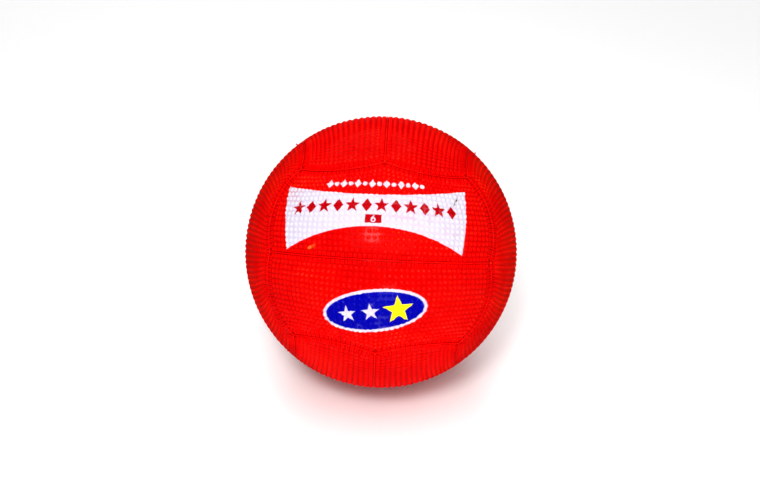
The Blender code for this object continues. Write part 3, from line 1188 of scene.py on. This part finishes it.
# Painted shade of the white ink on the floors between pimples.
WHITE_INK_PAINTED_SHADE = (0.44, 0.38, 0.60, 1)      # of the white ink on the floor between pimples
INKS = {"White": (0.60, 0.56, 0.62, 1), "Red": (0.38, 0.001, 0.005, 1),
        "Blue": (0.0006, 0.0006, 0.30, 1), "Yellow": (0.90, 0.76, 0.010, 1)}
WEAR_MARKS = {"Scratch": (0.10, 0.065, 0.02, 1), "Scuff": (0.82, 0.12, 0.02, 1)}
GLOSS, GLOSS_ROUGHNESS = 0.14, 0.13      # of the coat where the rubber is rubbed smooth

# Heights over the skin, from and to, in millimetres; painted shade darkens the floor,
# groove and rim bands
FLOOR, TOPS, GROOVE_SHADE_BAND, RIM_SHADE_BAND = (0.0, 0.28), (0.40, 0.56), (-0.30, -0.04), (-0.45, -0.20)
FAR_ROUND = (35.0, 75.0)                 # degrees across, where the ball turns away
INK_WOBBLE, INK_WOBBLE_SCALE = 0.35, 620.0
print("inks:", ", ".join(INKS))

# %% Helpers for finishes
def new_finish(name, roughness):
    """A material with its tree, its shader and its position in the ball's frame."""
    material = bpy.data.materials.new(name)
    material.use_nodes = True
    tree = material.node_tree
    shader = tree.nodes["Principled BSDF"]
    shader.inputs["Roughness"].default_value = roughness
    place = add_node(tree, "ShaderNodeTexCoord")
    turn = add_node(tree, "ShaderNodeMapping", Vector=place.outputs["Object"])
    turn.inputs["Rotation"].default_value = BALL_TO_WORLD.inverted().to_euler("XYZ")
    return material, tree, shader, turn.outputs["Vector"]


def add_bump(tree, shader, height, distance, strength=1.0):
    bump = add_node(tree, "ShaderNodeBump", Height=height, Distance=distance,
                    Strength=strength)
    tree.links.new(bump.outputs["Normal"], shader.inputs["Normal"])


def printed_over(tree, position, mapped, depth, tone, colour, roughness):
    """The colour and the roughness with the inks and the marks of play laid over them."""
    wobble = (noise(tree, position, INK_WOBBLE_SCALE, 1.0) - 0.5) * INK_WOBBLE
    prints = use_group(tree, front_print,
                       Across=Reading(tree, mapped.outputs["Across"]) + wobble,
                       Up=Reading(tree, mapped.outputs["Up"]) + wobble)
    thin = 1.0 - depth * tone.ramp(0.52, 0.75) * 0.35
    for ink, ink_colour in INKS.items():
        coat = Reading(tree, prints.outputs[ink])
        if ink == "White":
            # Painted shade: the white ink is darker and lilac on the floors between
            # pimples.
            ink_colour = mixed(tree, depth * 0.34, ink_colour, WHITE_INK_PAINTED_SHADE)
        colour = mixed(tree, coat * thin, colour, ink_colour)
        roughness = roughness - coat * 0.04
    for mark, mark_colour in WEAR_MARKS.items():
        streaked = Reading(tree, prints.outputs[mark]) * tone.ramp(0.2, 0.5)
        colour = mixed(tree, streaked * (1.0 - depth * 0.6), colour, mark_colour)
    return colour, roughness


print("the ball's frame is turned by",
      [round(math.degrees(a), 2) for a in BALL_TO_WORLD.inverted().to_euler("XYZ")])

# %% Make the cover's two finishes
def cover_finish(name, printed):
    material, tree, shader, position = new_finish(name, 0.5)
    mapped = use_group(tree, ball_map, Position=position)
    distance = Reading(tree, mapped.outputs["Radius"])

    def above(band):
        """0 below a band of heights, 1 above it."""
        return distance.ramp(*(SKIN_RADIUS + height * MM for height in band))

    depth = 1.0 - above(FLOOR)
    rubber = use_group(tree, moulded_rubber, Position=position, Depth=depth,
                       Grain_size=0.35 * MM)
    tone, dust, polish = (
        Reading(tree, rubber.outputs[value]) for value in ("Tone", "Dust", "Polish"))
    groove_shade, rim, tops = 1.0 - above(GROOVE_SHADE_BAND), 1.0 - above(RIM_SHADE_BAND), above(TOPS)
    far_round = Reading(tree, mapped.outputs["Across"]).size().ramp(*FAR_ROUND)

    # Painted shade: darker on the floors between pimples (less on the sides that turn
    # away), in the grooves and rib gaps, at the rounded rims, and over the sides that turn
    # away from the front.
    shade = (tone.ramp(0.3, 0.7) * 0.25 + 0.75) * (1.0 - depth * (0.40 - far_round * 0.22))
    shade = shade * (1.0 - groove_shade * 0.5) * (1.0 - rim * 0.8) * (1.0 - far_round * 0.36)
    colour = mixed(tree, shade, RUBBER_DARK_TONE_AND_SHADE, RUBBER_BRIGHT)
    # Tan dust in the floors. On the sides that turn away it is heavier, and there the
    # darker dust is also painted shade.
    colour = mixed(tree, dust * (0.04 + 0.34 * far_round), colour, RUBBER_DUST_AND_SHADE)
    # Rubbed tops turn paler orange, more on the sides that turn away. This is partly wear
    # and partly a painted highlight.
    wear_and_highlight = tops * (tone.ramp(0.42, 0.60) * 0.22 + tone.ramp(0.57, 0.68) * 0.45
                   + far_round * tone.ramp(0.35, 0.65) * 0.36)
    colour = mixed(tree, wear_and_highlight, colour, RUBBER_WORN_AND_HIGHLIGHT)
    roughness = 0.62 - polish * 0.16 + dust * 0.14
    gloss = (polish * 0.5 + 0.5) * (1.0 - far_round * 0.55) * GLOSS
    if printed:
        colour, roughness = printed_over(
            tree, position, mapped, depth, tone, colour, roughness)
    plug(tree, colour, shader.inputs["Base Color"])
    plug(tree, roughness, shader.inputs["Roughness"])
    plug(tree, gloss, shader.inputs["Coat Weight"])
    shader.inputs["Specular IOR Level"].default_value = 0.0
    shader.inputs["Coat Roughness"].default_value = GLOSS_ROUGHNESS
    add_bump(tree, shader, rubber.outputs["Height"], 0.05 * MM, 0.6)
    return material


cover_plain = cover_finish("cover_rubber_red", False)
cover_printed = cover_finish("cover_rubber_printed", True)
print("finishes:", cover_plain.name, cover_printed.name)

# %% Dress the cover
def dress(piece, material):
    """Give a piece one material for all its faces."""
    piece.data.materials.clear()
    piece.data.materials.append(material)


for name, panel in panels.items():
    dress(panel, cover_printed if name.startswith("panel_front") else cover_plain)
for piece in (seam_beads, vent_nibs, valve_boss):
    dress(piece, cover_plain)
print("printed:", [name for name in panels if name.startswith("panel_front")])

# %% [markdown]
# ## The finishes of the valve
#
# The valve's body is a softer, darker red rubber, and its plug is black. Both came from a
# turned mould, so their grain is crossed by faint rings about the valve's axis, which a
# sine of the distance from that axis gives.

# %% Make the valve's finishes
def valve_finish(name, deep, bright, roughness, ring_pitch):
    material, tree, shader, position = new_finish(name, roughness)
    rubber = use_group(tree, moulded_rubber, Position=position, Depth=0.5,
                       Grain_size=0.2 * MM)
    axis = (BALL_TO_WORLD.inverted() @ valve_axis).normalized()
    along_axis = add_node(tree, "ShaderNodeVectorMath")
    along_axis.operation = "CROSS_PRODUCT"
    plug(tree, position, along_axis.inputs[0])
    along_axis.inputs[1].default_value = axis
    from_axis = length_of(*parts_of(tree, along_axis.outputs[0]))
    rings = (from_axis * (2.0 * math.pi / ring_pitch)).maths("SINE")
    tone = Reading(tree, rubber.outputs["Tone"])
    shade = tone.ramp(0.3, 0.7) * 0.7 + (rings * 0.1 + 0.1)
    plug(tree, mixed(tree, shade, deep, bright), shader.inputs["Base Color"])
    plug(tree, roughness + (tone - 0.5) * 0.25, shader.inputs["Roughness"])
    shader.inputs["Specular IOR Level"].default_value = 0.12
    add_bump(tree, shader, Reading(tree, rubber.outputs["Height"]) + rings * 0.3,
             0.03 * MM, 0.7)
    return material


dress(valve_body, valve_finish("valve_rubber_dark_red", (0.14, 0.0010, 0.0010, 1),
                               (0.42, 0.0060, 0.0040, 1), 0.48, 0.4 * MM))
dress(needle_plug, valve_finish("plug_rubber_black", (0.006, 0.006, 0.006, 1),
                                (0.035, 0.032, 0.030, 1), 0.42, 0.3 * MM))
print("valve finished")

# %% [markdown]
# ## The finishes of the hidden plies
#
# Inside the cover the CAD nodes are right as they are and only need finishes. The nylon
# thread is wound round the ball in every direction. Planes of one direction cut a sphere
# in rings, so a sine of the distance along a direction looks like one lap of winding, and
# the highest of several directions looks like threads lying over each other.

# %% The winding group and the plies' finishes
WINDING_LAPS = 7
winding, winding_in, winding_out = new_group("winding", ["Position", "Pitch"], ["Height"])
pitch = Reading(winding, winding_in.outputs["Pitch"])
laps = random.Random(3)
height = None
for lap in range(WINDING_LAPS):
    direction = Vector([laps.gauss(0.0, 1.0) for _ in range(3)]).normalized()
    node = add_node(winding, "ShaderNodeVectorMath", Vector=winding_in.outputs["Position"])
    node.operation = "DOT_PRODUCT"
    node.inputs[1].default_value = direction
    distance = Reading(winding, node.outputs["Value"])
    thread = (distance / pitch * (2.0 * math.pi)).maths("SINE") - 0.06 * lap
    height = thread if height is None else height.most(thread)
plug(winding, height, winding_out.inputs["Height"])


def ply_finish(node_name, deep, bright, roughness, grain, bump, wound=False):
    material, tree, shader, position = new_finish(node_name + "_finish", roughness)
    rubber = use_group(tree, moulded_rubber, Position=position, Depth=0.6, Grain_size=grain)
    relief = Reading(tree, rubber.outputs["Height"])
    shade = Reading(tree, rubber.outputs["Tone"]).ramp(0.3, 0.7)
    if wound:
        threads = use_group(tree, winding, Position=position, Pitch=0.7 * MM)
        relief = Reading(tree, threads.outputs["Height"])
        # The colour follows the relief. Lower threads are painted darker, which is painted
        # shade.
        shade = relief.ramp(-0.2, 1.0) * 0.7 + shade * 0.3
    dust = Reading(tree, rubber.outputs["Dust"])
    plug(tree, mixed(tree, shade, deep, bright), shader.inputs["Base Color"])
    plug(tree, roughness + dust * 0.15, shader.inputs["Roughness"])
    add_bump(tree, shader, relief, bump)
    for slot in frame["nodes"][node_name].material_slots:
        slot.material = material


ply_finish("carcass_rubber", (0.12, 0.035, 0.015, 1), (0.27, 0.09, 0.045, 1), 0.78,
           0.5 * MM, 0.06 * MM)
ply_finish("nylon_winding", (0.30, 0.26, 0.18, 1), (0.76, 0.72, 0.62, 1), 0.5,
           0.5 * MM, 0.2 * MM, wound=True)
ply_finish("bladder", (0.008, 0.008, 0.008, 1), (0.045, 0.043, 0.041, 1), 0.46,
           0.8 * MM, 0.05 * MM)
ply_finish("valve_patch", (0.05, 0.048, 0.045, 1), (0.16, 0.15, 0.14, 1), 0.7,
           0.3 * MM, 0.05 * MM)
print("plies finished")

# %% [markdown]
# ## The floor
#
# The ball stands on a plain white floor with a faint shine, which picks up some of the
# ball's red in front of it. Far from the lights a floor turns grey, so with distance it
# fades to a white of its own, which only the camera sees and which lights nothing.

# %% Make the floor
FAR_FLOOR = (0.5, 2.0)      # metres from the ball: where the fade starts and ends


def seen_by_camera(tree):
    """1 where the camera looks straight at something, and 0 for light on its way."""
    return Reading(tree, add_node(tree, "ShaderNodeLightPath").outputs["Is Camera Ray"])


floor_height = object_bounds()[0][2]
start_clean()
bpy.ops.mesh.primitive_plane_add(size=8.0, location=(0, 0, floor_height))
floor = bpy.context.object
floor.name = "floor"
floor_paint = bpy.data.materials.new("floor_white")
floor_paint.use_nodes = True
floor_tree = floor_paint.node_tree
floor_shader = floor_tree.nodes["Principled BSDF"]
floor_shader.inputs["Base Color"].default_value = (0.97, 0.97, 0.97, 1)
floor_shader.inputs["Roughness"].default_value = 0.4
floor_shader.inputs["Specular IOR Level"].default_value = 0.9
floor_shader.inputs["Emission Strength"].default_value = 1.0
floor_place = add_node(floor_tree, "ShaderNodeTexCoord").outputs["Object"]
far_off = length_of(*parts_of(floor_tree, floor_place)).ramp(*FAR_FLOOR)
fade = mixed(floor_tree, far_off * seen_by_camera(floor_tree), (0, 0, 0, 1),
             (0.9, 0.9, 0.9, 1))
plug(floor_tree, fade, floor_shader.inputs["Emission Color"])
floor.data.materials.append(floor_paint)
print("floor at %.4f m" % floor_height)

# %% [markdown]
# ## Light
#
# A large soft light above makes the floor bright and the shadow under the ball soft, and a
# weaker one lights its back. A small one near the camera flattens the shading and makes the
# pimples sparkle, and a low one in front lights the ball's underside, whose red then falls
# on the floor. The pale world fills the rest: it lights only a little, but looks white
# where it is seen.

# %% Add the lights and the world
WORLD_LIGHT, WORLD_LOOK = 0.20, 0.95        # how bright it shines, and how bright it looks


def add_light(name, location, size, watts):
    """A round area light that faces the ball."""
    bpy.ops.object.light_add(type="AREA", location=location)
    light = bpy.context.object
    light.name = name
    light.data.shape = "DISK"
    light.data.size = size
    light.data.energy = watts
    light.rotation_euler = Vector(location).to_track_quat("Z", "Y").to_euler()


add_light("soft_top_light", (0.10, -0.85, 1.6), 2.4, 29.5)
add_light("soft_back_light", (-0.2, 1.5, 1.5), 1.8, 12.0)
add_light("camera_light", (-0.09, -0.53, 0.60), 0.18, 2.5)
add_light("low_front_light", (0.10, -1.1, 0.0), 0.35, 3.6)

world = bpy.data.worlds.new("pale_room")
world.use_nodes = True
room = world.node_tree.nodes["Background"]
room.inputs["Color"].default_value = (1, 1, 1, 1)
plug(world.node_tree,
     seen_by_camera(world.node_tree) * (WORLD_LOOK - WORLD_LIGHT) + WORLD_LIGHT,
     room.inputs["Strength"])
bpy.context.scene.world = world
print("lights:", len(bpy.data.lights))

# %% [markdown]
# ## The camera
#
# The camera looks down at the middle of the ball from two thirds of a metre. Its shift of a
# few thousandths of the frame sets the ball a little off the middle.

# %% Place the camera
CAMERA_DISTANCE, CAMERA_ELEVATION = 0.663, math.radians(35.0)
bpy.ops.object.camera_add(location=(
    0.0, -CAMERA_DISTANCE * math.cos(CAMERA_ELEVATION),
    CAMERA_DISTANCE * math.sin(CAMERA_ELEVATION)))
camera = bpy.context.object
camera.rotation_euler = camera.location.to_track_quat("Z", "Y").to_euler()
camera.data.lens = 55.7
camera.data.sensor_width = 36.0
camera.data.shift_x = -1.0 / 760.0
camera.data.shift_y = 2.0 / 760.0
camera.data.clip_start = 0.01
bpy.context.scene.camera = camera
bpy.context.scene.view_settings.view_transform = "Standard"
bpy.context.scene.view_settings.look = "Medium High Contrast"
print("camera at", [round(part, 3) for part in camera.location])

# %% [markdown]
# ## Ties to the model
#
# The ball has no joints, so every piece rides on its one body. The CAD nodes that new
# pieces replace are hidden.

# %% Ride and replace
for name, panel in panels.items():
    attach(panel, "root")
    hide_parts(name)
for piece in (seam_beads, vent_nibs, valve_boss):
    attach(piece, "root")
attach(valve_body, "root")
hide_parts("valve_housing")
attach(needle_plug, "root")
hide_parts("valve_plug")
